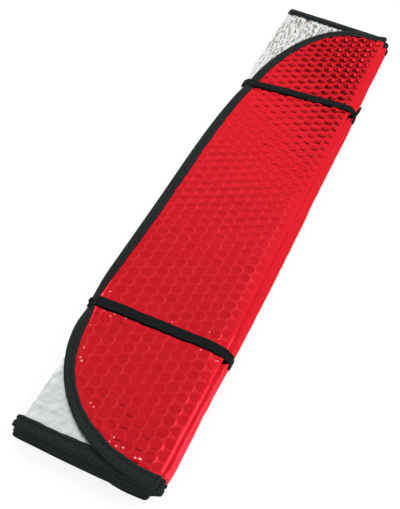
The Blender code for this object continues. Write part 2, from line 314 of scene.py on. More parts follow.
def press_folds(x, y, z):
    """Flattens the folds: towards a crease's front the two layers come together in a flat V. Returns the new Z."""
    bound = smooth(np.abs(x), HALF_LENGTH - TAPE_WIDTH - 3 * MM, HALF_LENGTH - TAPE_WIDTH + 2 * MM)
    tight = bell(x, NEAR_STRAP_X, 12 * MM) + bell(x, far_strap_at(y), 12 * MM)
    result = z.copy()
    for crease in range(CREASE_COUNT):
        side, line, middle = crease_centre(crease)
        inside = line * side + CREASE_RADIUS + HALF_CRUSHED - y * side
        # what lies on the outermost panels moves with the folds beside them
        low = middle - LAYER_PITCH - (3 * MM if crease == CREASE_COUNT - 1 else 0)
        high = middle + LAYER_PITCH + (3 * MM if crease == 0 else 0)
        reach = 10 * MM if side < 0 else 4 * MM
        flat = 0.80 * (1 - 0.72 * bound) * (1 - np.clip(inside / reach, 0, 1))
        # under the straps the folds stay tight on each other, apart from the top panel
        flat *= 1 - 0.8 * tight * ((crease > 0) | (z < middle))
        mine = (z >= low) & (z < high) & (inside < 12 * MM)
        result = np.where(mine, middle + (z - middle) * (1 - flat), result)
    return result


def settle(places, folded=True):
    """Moves places of the ideal stack to where the pinching straps and the film's own spring put them."""
    x, y, z = np.asarray(places, dtype=float).T
    if folded:
        z = press_folds(x, y, z)
    share = np.clip(z / TAPE_TOP, 0, 1)
    below = 1 - share
    # from here on, all is in millimetres
    near_line, far_line, half = NEAR_STRAP_X / MM, far_strap_at(y) / MM, HALF_LENGTH / MM
    x, y, z = x / MM, y / MM, z / MM
    # the near strap presses the loose edge down and draws it outwards, and beside the strap it stays drawn for a while
    loose = smooth(y, 49, 61)
    drawn = np.exp(-np.abs((x - near_line) / np.where(x < near_line, 17, 85)) ** 1.6)
    down = (6.0 * bell(x, near_line, 18) + 1.5 * drawn) * loose + bell(x, near_line, 12) * smooth(-y, 30, 60)
    out = drawn * smooth(y, 12, 46) * (6.0 - (4.2 - 1.4 * (x > near_line)) * smooth(y, 49, 60)) * smooth(z, 18, 25)
    # the far strap presses it less and draws it in
    pinch = bell(x, far_line, 14)
    down += pinch * (1.4 * smooth(y, 10, 60) + 0.6 * smooth(-y, 30, 60))
    out -= 0.8 * pinch * smooth(y, 40, 62)
    # the whole stack is a little wavy
    sway = 0.45 * ripple(x, z * 6, 70, 3) * smooth(np.abs(y), 30, 60)
    lift = 0.35 * ripple(x, y, 45, 8) * (1 - 0.4 * smooth(np.abs(share - 0.5), 0.35, 0.5)) * smooth(z, 1.5, 6)
    # the folds' corners at the near end are pulled in by the tape round them, and its layers end unevenly
    end = smooth(np.abs(x), half - 30, half)
    near_end, far_end = end * (x < 0), end * (x > 0)
    fold = smooth(-y, 50, 64) * near_end
    along = (2.0 + 2.2 * below) * fold
    out += (1.0 + 1.2 * below) * fold
    along += 0.9 * np.abs(ripple(z * 0, z, 5, 14)) * near_end * 4 * share * below
    along -= (2.8 - 1.2 * smooth(np.abs(y), 10, 60)) * below ** 2 * near_end
    along -= 0.7 * below * near_end * smooth(y, -50, -10)
    # at the far end the top panel is drawn in and the second one stands out
    top, inner = smooth(z, 25, 26), smooth(y, -60, -44)
    along -= 4.8 * top * inner * smooth(x, 190, 285)
    along += far_end * (2.8 * (1 - top) * inner + 1.4 * (1 - inner)) * smooth(z, 14, 18)
    # the middle layers lie a little askew
    askew = 2.4 * smooth(x, -270, -120) * (1 - 0.8 * smooth(x, 110, 240)) * smooth(25.5 - z, 0, 4) * smooth(z, 2, 8)
    return np.stack([x + along, y + out - askew + sway, z - down * share + lift], axis=1) * MM + (0, CENTRE_SHIFT, 0)


# Meshes and materials

def add_piece(name, places, faces, materials, marks=None, uvs=None):
    """A shaded piece from numbers. marks are each face's material slot, and uvs each vertex's place on the cloth."""
    mesh = bpy.data.meshes.new(name)
    mesh.from_pydata([tuple(p) for p in places], [], faces)
    for material in materials:
        mesh.materials.append(material)
    if marks is not None:
        mesh.polygons.foreach_set("material_index", marks)
    if uvs is not None:
        layer = mesh.uv_layers.new(name="cloth")
        corners = np.empty(len(mesh.loops), dtype=int)
        mesh.loops.foreach_get("vertex_index", corners)
        layer.data.foreach_set("uv", np.asarray(uvs, dtype=float)[corners].ravel())
    mesh.shade_smooth()
    mesh.validate()
    obj = bpy.data.objects.new(name, mesh)
    bpy.context.scene.collection.objects.link(obj)
    return obj


def face_outwards(obj):
    """Turns all faces of closed meshes outwards."""
    bm = bmesh.new()
    bm.from_mesh(obj.data)
    bmesh.ops.recalc_face_normals(bm, faces=bm.faces)
    bm.to_mesh(obj.data)
    bm.free()


def add_node(tree, kind, inputs=None, **settings):
    """A node with its settings, and its inputs by name or number: each takes a value or another node's output."""
    node = tree.nodes.new("ShaderNode" + kind)
    for name, value in settings.items():
        setattr(node, name, value)
    for name, value in (inputs or {}).items():
        if isinstance(value, bpy.types.NodeSocket):
            tree.links.new(value, node.inputs[name])
        else:
            node.inputs[name].default_value = value
    return node


def new_material(name):
    """An empty material and its node tree."""
    material = bpy.data.materials.new(name)
    material.use_nodes = True
    material.node_tree.nodes.clear()
    return material, material.node_tree


def toned(colour, factor, lift=0.0):
    """A colour made lighter or darker, as red, green, blue and alpha."""
    return (*[min(1, c * factor + lift) for c in colour], 1)


def metallised_film(name, colour, tint, roughness, crumpled, pulled_from):
    """Aluminised polyester foil, laminated over air bubbles and lacquered: a mirror broken up by small crumples,
    with a clear coat that adds pale glints. Past pulled_from the foil is pulled into fine lengthwise ripples. Where
    the bend attribute says so, highlights, shades and glints are painted into its colour."""
    material, tree = new_material(name)
    place = add_node(tree, "TexCoord").outputs["Object"]
    x = add_node(tree, "SeparateXYZ", {"Vector": place}).outputs["X"]
    # crumples of about 5 mm, grain of about 1 mm, and ripples of about 2 mm across and 9 mm along
    crumple = add_node(tree, "TexNoise", {"Vector": place, "Scale": 1 / (5 * MM), "Detail": 2, "Roughness": 0.5,
                                          "Distortion": 0.8})
    grain = add_node(tree, "TexNoise", {"Vector": place, "Scale": 1 / (1.1 * MM), "Detail": 2})
    lengthwise = add_node(tree, "Mapping", {"Vector": place, "Scale": (0.22, 1, 1)})
    ripples = add_node(tree, "TexNoise", {"Vector": lengthwise.outputs["Vector"], "Scale": 1 / (1.9 * MM),
                                          "Detail": 2, "Distortion": 0.5})
    pulled = add_node(tree, "MapRange", {"Value": x, "From Min": pulled_from, "From Max": pulled_from + 0.08})
    pull = add_node(tree, "Bump", {"Height": ripples.outputs["Fac"], "Strength": pulled.outputs["Result"],
                                   "Distance": 1.0 * MM})
    first = add_node(tree, "Bump", {"Height": crumple.outputs["Fac"], "Strength": 0.5, "Distance": crumpled,
                                    "Normal": pull.outputs["Normal"]})
    # the grain is stronger beside the near strap
    from_strap = add_node(tree, "Math", {0: x, 1: NEAR_STRAP_X}, operation="SUBTRACT")
    from_strap = add_node(tree, "Math", {0: from_strap.outputs[0]}, operation="ABSOLUTE")
    pinched = add_node(tree, "MapRange", {"Value": from_strap.outputs[0], "From Min": 7 * MM, "From Max": 13 * MM,
                                          "To Min": 0.4, "To Max": 0.10})
    second = add_node(tree, "Bump", {"Height": grain.outputs["Fac"], "Strength": pinched.outputs["Result"],
                                     "Distance": 0.22 * MM, "Normal": first.outputs["Normal"]})
    # the colour varies with the grain, and the pulled foil has dull flecks
    shade = add_node(tree, "MapRange", {"Value": grain.outputs["Fac"], "From Min": 0.3, "From Max": 0.7})
    blend = add_node(tree, "Mix", {"Factor": shade.outputs["Result"], "A": toned(colour, tint),
                                   "B": toned(colour, 1)}, data_type="RGBA")
    fleck = add_node(tree, "MapRange", {"Value": ripples.outputs["Fac"], "From Min": 0.50, "From Max": 0.60})
    fleck = add_node(tree, "Math", {0: fleck.outputs["Result"], 1: pulled.outputs["Result"]}, operation="MULTIPLY")
    blend = add_node(tree, "Mix", {"Factor": fleck.outputs[0], "A": blend.outputs["Result"],
                                   "B": (0.36, 0.32, 0.26, 1)}, data_type="RGBA")
    # painted highlight: where the bend attribute is above 0 the foil is painted paler round the bubble rims, and made
    # duller
    bend = add_node(tree, "Attribute", attribute_name="bend").outputs["Fac"]
    painted_highlight = add_node(tree, "Math", {0: bend, 1: 0.0}, operation="MAXIMUM").outputs[0]
    rim_highlight = add_node(tree, "Mix", {"Factor": painted_highlight, "A": blend.outputs["Result"], "B": toned(colour, 1.15, 0.05)},
                   data_type="RGBA")
    rough = add_node(tree, "MapRange", {"Value": crumple.outputs["Fac"], "From Min": 0.35, "From Max": 0.65,
                                        "To Min": roughness - 0.03, "To Max": roughness + 0.05})
    dulled = add_node(tree, "Math", {0: painted_highlight, 1: 0.45, 2: rough.outputs["Result"]}, operation="MULTIPLY_ADD")
    # painted shade where the bend attribute is below 0, for the darkness that the valleys, discs and far corner
    # mirror, and painted near-white glints where it is above 1
    painted_shade = add_node(tree, "Math", {0: bend, 1: -1.0}, operation="MULTIPLY")
    deep = add_node(tree, "Mix", {"Factor": painted_shade.outputs[0], "A": rim_highlight.outputs["Result"], "B": toned(colour, 0.13)},
                    data_type="RGBA")
    painted_glint = add_node(tree, "Math", {0: bend, 1: 1.0}, operation="SUBTRACT")
    with_painted_glints = add_node(tree, "Mix", {"Factor": painted_glint.outputs[0], "A": deep.outputs["Result"], "B": (1, 0.92, 0.92, 1)},
                    data_type="RGBA")
    shader = add_node(tree, "BsdfPrincipled", {
        "Base Color": with_painted_glints.outputs["Result"], "Metallic": 1.0, "Roughness": dulled.outputs[0],
        "Specular Tint": (1, *[0.5 + 0.5 * c for c in colour[1:]], 1),
        "Normal": second.outputs["Normal"], "Coat Weight": 0.06, "Coat Roughness": 0.10,
        "Coat Normal": first.outputs["Normal"]})
    add_node(tree, "OutputMaterial", {"Surface": shader.outputs[0]})
    return material


def woven_polyester(name, colour):
    """Woven polyester tape in a twill: dull black-green cloth, bumped along its slanting ribs, with a painted
    highlight that makes the raised ribs lighter.
    """
    material, tree = new_material(name)
    cloth = add_node(tree, "UVMap", uv_map="cloth").outputs["UV"]
    # real twill ribs are about 0.5 mm apart, drawn 1.5 mm apart so that they show
    slant = add_node(tree, "Mapping", {"Vector": cloth, "Rotation": (0, 0, math.radians(35))})
    rib = add_node(tree, "TexWave", {"Vector": slant.outputs["Vector"], "Scale": 1 / (1.5 * MM) / WAVES_PER_METRE,
                                     "Distortion": 0.6, "Detail": 1.0, "Detail Scale": 4.0})
    lint = add_node(tree, "TexNoise", {"Vector": cloth, "Scale": 1 / (1.6 * MM), "Detail": 2})
    across = add_node(tree, "Mapping", {"Vector": cloth, "Rotation": (0, 0, math.radians(-50))})
    weft = add_node(tree, "TexWave", {"Vector": across.outputs["Vector"], "Scale": 1 / (1.3 * MM) / WAVES_PER_METRE,
                                      "Distortion": 1.0, "Detail": 1.0, "Detail Scale": 4.0})
    weave = add_node(tree, "Math", {0: rib.outputs["Fac"], 1: weft.outputs["Fac"]}, operation="MULTIPLY")
    mix = add_node(tree, "Math", {0: weave.outputs[0], 1: lint.outputs["Fac"]}, operation="MULTIPLY")
    # painted highlight: the raised weave and lint are painted lighter
    blend = add_node(tree, "Mix", {"Factor": mix.outputs[0], "A": toned(colour, 0.45), "B": toned(colour, 9.0, 0.012)},
                     data_type="RGBA")
    bump = add_node(tree, "Bump", {"Height": mix.outputs[0], "Strength": 0.8, "Distance": 0.45 * MM})
    shader = add_node(tree, "BsdfPrincipled", {
        "Base Color": blend.outputs["Result"], "Roughness": 0.8, "Specular IOR Level": 0.14,
        "Sheen Weight": 0.04, "Sheen Roughness": 0.5, "Normal": bump.outputs["Normal"]})
    add_node(tree, "OutputMaterial", {"Surface": shader.outputs[0]})
    return material


def knitted_elastic(name, colour):
    """Knitted elastic of rubber and polyester: matte, with fine stitches across its lengthwise ribs."""
    material, tree = new_material(name)
    cloth = add_node(tree, "UVMap", uv_map="cloth").outputs["UV"]
    # the real stitches are about 0.6 mm apart, drawn 1.1 mm apart so that they show
    stitch = add_node(tree, "TexWave", {"Vector": cloth, "Scale": 1 / (1.1 * MM) / WAVES_PER_METRE,
                                        "Distortion": 1.2, "Detail": 1.0, "Detail Scale": 3.0})
    lint = add_node(tree, "TexNoise", {"Vector": cloth, "Scale": 1 / (1.3 * MM), "Detail": 2})
    mix = add_node(tree, "Math", {0: stitch.outputs["Fac"], 1: lint.outputs["Fac"]}, operation="MULTIPLY")
    blend = add_node(tree, "Mix", {"Factor": mix.outputs[0], "A": toned(colour, 0.7), "B": toned(colour, 1.8, 0.002)},
                     data_type="RGBA")
    bump = add_node(tree, "Bump", {"Height": mix.outputs[0], "Strength": 0.6, "Distance": 0.3 * MM})
    shader = add_node(tree, "BsdfPrincipled", {
        "Base Color": blend.outputs["Result"], "Roughness": 0.85, "Specular IOR Level": 0.1,
        "Sheen Weight": 0.03, "Sheen Roughness": 0.6, "Normal": bump.outputs["Normal"]})
    add_node(tree, "OutputMaterial", {"Surface": shader.outputs[0]})
    return material


def spun_thread(name, colour):
    """Spun polyester sewing thread: matte and soft, with a faint twist of lighter and darker fibres."""
    material, tree = new_material(name)
    place = add_node(tree, "TexCoord").outputs["Object"]
    twist = add_node(tree, "TexNoise", {"Vector": place, "Scale": 1 / (0.9 * MM), "Detail": 1})
    blend = add_node(tree, "Mix", {"Factor": twist.outputs["Fac"], "A": toned(colour, 0.5), "B": toned(colour, 1.5)},
                     data_type="RGBA")
    shader = add_node(tree, "BsdfPrincipled", {"Base Color": blend.outputs["Result"], "Roughness": 0.6,
                                               "Sheen Weight": 0.3})
    add_node(tree, "OutputMaterial", {"Surface": shader.outputs[0]})
    return material


# The bubble film

def nearest_bubble(x, y, film):
    """Each point's bubble: the distance from its middle, that distance's parts, and its row and place in the row."""
    row_pitch = film.pitch * ROW_SHARE
    v = (y - BUBBLE_START[1]) / row_pitch
    best = None
    for row in (np.floor(v), np.floor(v) + 1):
        u = (x - BUBBLE_START[0]) / film.pitch - (row % 2) / 2
        column = np.round(u)
        dx, dy = (u - column) * film.pitch, (v - row) * row_pitch
        found = (np.hypot(dx, dy), dx, dy, row, column)
        if best is None:
            best = found
        else:
            best = [np.where(found[0] < best[0], new, old) for new, old in zip(found, best)]
    return best


def bubble_relief(x, y, film, seed, domed):
    """How far the bubbles stand out of the valleys: flat discs with a steep rim, or rounder ones where domed is 1."""
    far, dx, dy, row, column = nearest_bubble(x, y, film)
    radius = film.radius * (0.975 + 0.04 * chance(column, row, seed))
    height = (film.height + film.dome * domed) * (0.88 + 0.22 * chance(column, row, seed + 1))
    share = np.clip(far / radius, 0, 1)
    # a flat bubble sags, so that its rim is steep on one side only
    flat = (1 - smooth(share, 0.86, 1.0)) * (1 + 0.50 * (dx * SAG[0] + dy * SAG[1]) / radius)
    # the round ones bulge away from the end that the straps pull on
    dome = (1 - share ** 1.6) * (1 + 0.4 * (dx * BULGE[0] + dy * BULGE[1]) / radius)
    crown = (flat + (dome - flat) * np.minimum(domed, 1)) * height
    tilt = (chance(column, row, seed + 2) - 0.5) * dx + (chance(column, row, seed + 3) - 0.5) * dy
    tilt *= (0.05 + 0.14 * domed) * (1 - share ** 4)
    dent = 0.10 * MM * chance(column, row, seed + 4) * bell(far, 0, 1.9 * MM)
    return crown + tilt - dent


def painted_bubble_light(x, y, film, seed):
    """Painted light and shade that the bubbles give the foil's colour. Above 0 it is a painted highlight on the rims,
    strongest on the side where the bubble sags. Below 0 it is painted shade on flat bubbles, in the deep valleys at
    the feet of the round ones and over the far corner."""
    far, dx, dy, row, column = nearest_bubble(x, y, film)
    share, way_x, way_y = far / film.radius, dx / np.maximum(far, 1e-6), dy / np.maximum(far, 1e-6)
    sagging = smooth(way_x * SAG[0] + way_y * SAG[1], 0.30, 0.90)
    rim_highlight = bell(share, 0.925, 0.035) * (0.15 + 0.95 * sagging * (0.35 + 0.65 * chance(column, row, seed)))
    # painted shade: the flat discs are painted a little darker
    painted_disc_shade = 0.10 * (1 - smooth(share, 0.80, 0.90)) * (0.6 + 0.8 * chance(column, row, seed + 2))
    # painted highlight: the valleys beside the crease are pulled flat and painted paler
    painted_shine = 0.16 * smooth(-y, 36 * MM, 46 * MM) * smooth(share, 0.88, 0.96)
    # painted shade in the deep valleys at the round bubbles' feet
    foot = bell(share, 0.90, 0.30) * smooth(-way_x * BULGE[0] - way_y * BULGE[1], 0.1, 0.8)
    deep = foot * past_line(x, y, FAR_SLANT, 70, 240) * (0.6 + 0.4 * chance(column, row, seed + 1))
    # painted reflection: the far corner's film is painted darker, for a darker part of the room that it mirrors
    corner = 0.17 * past_line(x, y, FAR_SLANT, 150, 290)
    return (rim_highlight + painted_shine - painted_disc_shade) * (1 - past_line(x, y, ROUND_SLANT, -60, 120)) - deep - corner


def painted_foil_light(panel, side, x, y, film, edge):
    """The painted highlights and shades at places of a panel's face, as the material reads them: see the function
    above.
    """
    painted_light = painted_bubble_light(x, y, film, 25 + panel) * smooth(edge, TAPE_WIDTH, TAPE_WIDTH + 2 * MM)
    if side == SILVER:
        # painted shade: here the rims are painted darker, and nothing else shows
        return -0.30 * np.maximum(painted_light, 0)
    if panel == TOP_PANEL:
        # painted glints: near-white specks where the near strap and the curved seam pinch the foil
        near = np.abs(x - NEAR_STRAP_X)
        pinched = (near > 5.5 * MM) & (near < 13 * MM)
        pinched |= (x < NEAR_STRAP_X) & (edge > TAPE_WIDTH + 1 * MM) & (edge < TAPE_WIDTH + 6 * MM)
        painted_light = np.where(pinched & (chance(np.round(x / MM), np.round(y / MM), 71) > 0.979), 2.4, painted_light)
    return painted_light


def distance_to_edge(x, y, outline):
    """How far points are inside an outline given by close points."""
    outline, step = np.asarray(outline), 2000
    result = []
    for i in range(0, len(x), step):
        dx = x[i:i + step, None] - outline[None, :, 0]
        dy = y[i:i + step, None] - outline[None, :, 1]
        result.append(np.sqrt((dx * dx + dy * dy).min(axis=1)))
    return np.concatenate(result)


def crumples(x, y, depth, seed):
    """Small crumples in the foil, sharper than soft hills."""
    creased = 1 - np.abs(ripple(x, y, 6.5 * MM, seed)) * 2
    return depth * (creased * 0.6 + ripple(x, y, 3.2 * MM, seed + 1) * 0.7 + ripple(x, y, 14 * MM, seed + 2))


def strap_ridges(x, y, film, band):
    """Ridges in the top panel's film: a fold beside the near strap, and others between the slanting rows of bubbles,
    or along them at the far end, where the straps draw the film."""
    fold = NEAR_STRAP_X - 9.5 * MM + 2.0 * MM * ripple(x * 0, y, 30 * MM, 51)
    beside = 0.16 * bell(x, fold, 1.7 * MM) * smooth(ripple(x, y, 25 * MM, 52), -0.8, -0.1)
    between = 0.17 * smooth(x, -90 * MM, 10 * MM) * (1 - smooth(x, 80 * MM, 190 * MM))
    between *= 0.7 + 0.6 * ripple(x, y, 30 * MM, 53)
    along = 0.28 * past_line(x, y, FAR_SLANT, 130, 300) * (0.8 + 0.5 * ripple(x, y, 25 * MM, 54))
    rows = ((x - BUBBLE_START[0]) * ROW_SHARE + (y - BUBBLE_START[1]) / 2) / (film.pitch * ROW_SHARE)
    return MM * (beside + (along - between) * np.cos(2 * math.pi * rows) * band)


def free_of_straps(x, y):
    """0 under the straps and 1 beside them."""
    foot = STRAP_WIDTH / 2 - 1 * MM
    return (smooth(np.abs(x - NEAR_STRAP_X), foot, foot + 3.5 * MM)
            * smooth(np.abs(x - far_strap_at(y)), foot, foot + 3 * MM))


def film_height(panel, x, y, film, edge):
    """How far a panel's face is from its middle, over HALF_CRUSHED, at places that are edge inside its rim."""
    from_crease = np.full_like(x, 1.0)
    for crease in (panel - 1, panel):
        if 0 <= crease < CREASE_COUNT:
            crease_side, line, _ = crease_centre(crease)
            from_crease = np.minimum(from_crease, (line - y) * crease_side)
    tape = TAPE_WIDTH * tape_share(x, y)
    seam = smooth(edge, tape - 0.3 * MM, tape + 1.4 * MM)
    if panel == TOP_PANEL:
        domed = 0.60 * past_line(x, y, ROUND_SLANT, -20, 200) + 0.65 * past_line(x, y, FAR_SLANT, 110, 320)
        band, full = smooth(from_crease, 0, 1.5 * MM), 1.0
    else:
        domed = smooth(x, -60 * MM, 160 * MM)
        start = 3 * MM if panel == SECOND_PANEL else 7.5 * MM
        band = smooth(from_crease + 0.9 * MM * ripple(x, y, 9 * MM, 21 + panel), start, start + 2.5 * MM)
        full = 0.7 + 1.0 * smooth(-x, 150 * MM, 200 * MM)
    bubbles = bubble_relief(x, y, film, 5 + panel * 11, domed) * band * full
    wrinkle = crumples(x, y, film.crinkle * (1 + domed), 31 + panel)
    # the flattened film beside a crease keeps lengthwise wrinkles
    flattened = smooth(from_crease, 0, 2 * MM) * (1 - smooth(from_crease, 4 * MM, 10 * MM))
    streaks = 0.20 * MM * ripple(x, y * 5, 16 * MM, 41 + panel) * flattened
    if panel == SECOND_PANEL:
        # the far corner's silver foil is crumpled into fine lengthwise ripples
        streaks += 0.25 * MM * ripple(x * 0.45, y, 2.6 * MM, 45) * smooth(x, 60 * MM, 150 * MM)
    if panel == TOP_PANEL:
        wrinkle *= 1 + 3.0 * bell(x, NEAR_STRAP_X, 12 * MM)
        bubbles = (bubbles + strap_ridges(x, y, film, band)) * (0.25 + 0.75 * free_of_straps(x, y))
    return (bubbles + wrinkle + streaks) * seam * smooth(edge, 1 * MM, 8 * MM)


class Film:
    """The pleated sheet while it is being meshed: places, faces, each face's colour and each point's painted light and
    shade.
    """

    def __init__(self):
        self.places, self.faces, self.marks, self.painted_light = [], [], [], []

    # bend is the painted highlight or shade at these points, as the film's material reads it
    def add(self, points, bend=0.0):
        first = len(self.places)
        self.places += points
        self.painted_light += [bend] * len(points)
        return list(range(first, len(self.places)))

    def face(self, corners, side):
        self.faces.append(corners)
        self.marks.append(0 if side == RED else 1)

    def strip(self, line_a, line_b, side):
        """Faces between two lines of points in order of X. The lines may have different counts."""
        a = b = 0
        xs_a, xs_b = ([self.places[i][0] for i in line] for line in (line_a, line_b))
        while a < len(line_a) - 1 or b < len(line_b) - 1:
            if len(line_a) == len(line_b):
                self.face((line_a[a], line_a[a + 1], line_b[b + 1], line_b[b]), side)
                a, b = a + 1, b + 1
            elif b == len(line_b) - 1 or (a < len(line_a) - 1 and xs_a[a + 1] <= xs_b[b + 1]):
                self.face((line_a[a], line_a[a + 1], line_b[b]), side)
                a += 1
            else:
                self.face((line_a[a], line_b[b + 1], line_b[b]), side)
                b += 1


def lattice(spacing, low_y, high_y):
    """Evenly spread points over the stack's length between two lines."""
    row_step = spacing * ROW_SHARE
    first, last = (math.ceil((low_y - BUBBLE_START[1]) / row_step), math.floor((high_y - BUBBLE_START[1]) / row_step))
    reach = math.ceil(HALF_LENGTH / spacing)
    row, column = np.meshgrid(np.arange(first, last + 1), np.arange(-reach, reach + 1))
    return ((column + (row % 2) / 2) * spacing + BUBBLE_START[0]).ravel(), (row * row_step + BUBBLE_START[1]).ravel()


def rings(film, low_y, high_y, counts):
    """Points in rings round every bubble's middle, closer together at its rim, and one in each valley corner."""
    x, y = lattice(film.pitch, low_y - film.pitch, high_y + film.pitch)
    corner = film.pitch / math.sqrt(3)
    shares = np.interp(np.linspace(0, 1, len(counts)), (0, 0.25, 0.5, 0.75, 1), (0.34, 0.62, 0.83, 0.925, 1.005))
    parts = [(x, y), (x, y + corner), (x, y - corner)]
    for k, (count, share) in enumerate(zip(counts, shares)):
        for i in range(count):
            turn = 2 * math.pi * (i + 0.5 * (k % 2)) / count
            parts.append((x + film.radius * share * math.cos(turn), y + film.radius * share * math.sin(turn)))
    x, y = (np.concatenate([part[k] for part in parts]) for k in (0, 1))
    inside = (y > low_y) & (y < high_y)
    return x[inside], y[inside]


def hidden_points(low_y, high_y):
    """Few points for a hidden face, closer together where the near strap pinches the stack."""
    x, y = lattice(COARSE, low_y, high_y)
    near_x, near_y = lattice(7 * MM, low_y, high_y)
    pinched = (np.abs(near_x - NEAR_STRAP_X) < 48 * MM) & (near_y > 20 * MM)
    away = (np.abs(x - NEAR_STRAP_X) > 50 * MM) | (y < 18 * MM)
    return np.concatenate([x[away], near_x[pinched]]), np.concatenate([y[away], near_y[pinched]])


def panel_points(panel, side, low, high, film):
    """Points for one face of a panel between two lines, close together where it shows, and their rough spacing."""
    ring_counts = {(TOP_PANEL, RED): (6, 12, 18, 18, 18), (SECOND_PANEL, SILVER): (6, 12, 16, 16)}
    even_spacings = {(BOTTOM_PANEL, RED): film.pitch / 4, (NEXT_TO_BOTTOM, SILVER): film.pitch / 3}
    if (panel, side) in ring_counts:
        spacing, (x, y) = 1.0 * MM, rings(film, low, high, ring_counts[panel, side])
    elif (panel, side) in even_spacings:
        spacing = even_spacings[panel, side]
        x, y = lattice(spacing, low, high)
    else:
        spacing, (x, y) = COARSE, hidden_points(low, high)
    if side == SILVER and panel in (SECOND_PANEL, NEXT_TO_BOTTOM):
        # an end panel covers most of this face
        cover = TOP_PANEL if panel == SECOND_PANEL else BOTTOM_PANEL
        shows = y > loose_edge_at(cover, x) - TAPE_WIDTH
        few_x, few_y = hidden_points(low, high)
        hidden = few_y < loose_edge_at(cover, few_x) - TAPE_WIDTH - 8 * MM
        x, y = np.concatenate([x[shows], few_x[hidden]]), np.concatenate([y[shows], few_y[hidden]])
    return x, y, spacing


def fill_panel(sheet, panel, side, loop, film):
    """Closes one face of a panel inside a loop of points, fine where it shows and coarse where it is hidden."""
    outline = np.array([sheet.places[i][:2] for i in loop])
    low, high = outline[:, 1].min(), outline[:, 1].max()
    x, y, spacing = panel_points(panel, side, low, high, film)
    margin = min(spacing, 2.5 * MM) * 0.6
    keep = (np.abs(x) < HALF_LENGTH - FILM_EDGE - margin) & (y > low + margin) & (y < high - margin)
    if panel in (TOP_PANEL, BOTTOM_PANEL):
        keep &= y < loose_edge_at(panel, x) - FILM_EDGE - margin
    x, y = x[keep], y[keep]
    edge = distance_to_edge(x, y, edge_points(panel))
    inner = edge > FILM_EDGE + margin
    x, y, edge = x[inner], y[inner], edge[inner]
    relief = painted_light = np.zeros_like(x)
    if spacing < COARSE:
        relief = film_height(panel, x, y, film, edge)
        painted_light = painted_foil_light(panel, side, x, y, film, edge)
    heights = panel_height(panel) + side * red_side(panel).z * (HALF_CRUSHED + relief)
    points = [Vector(p) for p in (*outline, *zip(x, y))]
    spots, _, triangles, sources, _, _ = delaunay_2d_cdt(points, [], [list(range(len(loop)))], 1, 1e-7)
    ids = []
    for spot, source in zip(spots, sources):
        number = source[0]
        if number < len(loop):
            ids.append(loop[number])
        else:
            number -= len(loop)
            ids += sheet.add([(spot.x, spot.y, heights[number])], float(painted_light[number]))
    for triangle in triangles:
        sheet.face(tuple(ids[i] for i in triangle), side)


def edge_points(panel):
    """Close points along a panel's bound edges, in X and Y."""
    ys = np.arange(-PANEL_WIDTH / 2 - 6 * MM, LOOSE_EDGE_Y + 1 * MM, 1.5 * MM)
    if panel not in (TOP_PANEL, BOTTOM_PANEL):
        return [(end * HALF_LENGTH, y) for end in (-1, 1) for y in ys]
    outline = [place for place, _ in loose_edge_outline(panel, 160)]
    corner = LOOSE_EDGE_Y - corner_width(panel)
    return outline + [(end * HALF_LENGTH, y) for end in (-1, 1) for y in ys if y <= corner]


def crease_swell(xs, number, turn):
    """How far a crease that shows is pushed out at places along it. A crease is never round: it is flattened, and
    long wrinkles run along it. number counts the creases from 1 at the top."""
    ends = smooth(HALF_LENGTH - FILM_EDGE - np.abs(xs), TAPE_WIDTH - 1 * MM, TAPE_WIDTH + 2 * MM)
    level = np.full_like(xs, turn * 9 * MM)
    wave = ripple(xs, level + number * 0.1, 9 * MM, 60 + number)
    long_wave = ripple(xs, level, 34 * MM, 80 + number)
    swell = (0.22 * wave + 0.28 * long_wave) * max(0, math.sin(turn)) ** 0.7 + 0.35 * math.sin(turn) ** 4
    if number == 3 and turn < math.pi / 2:
        # the upper half of this one is crumpled towards the far end
        swell += 0.7 * ripple(xs, level / 3, 3.6 * MM, 97) * smooth(xs, 20 * MM, 240 * MM)
    return swell * ends * MM


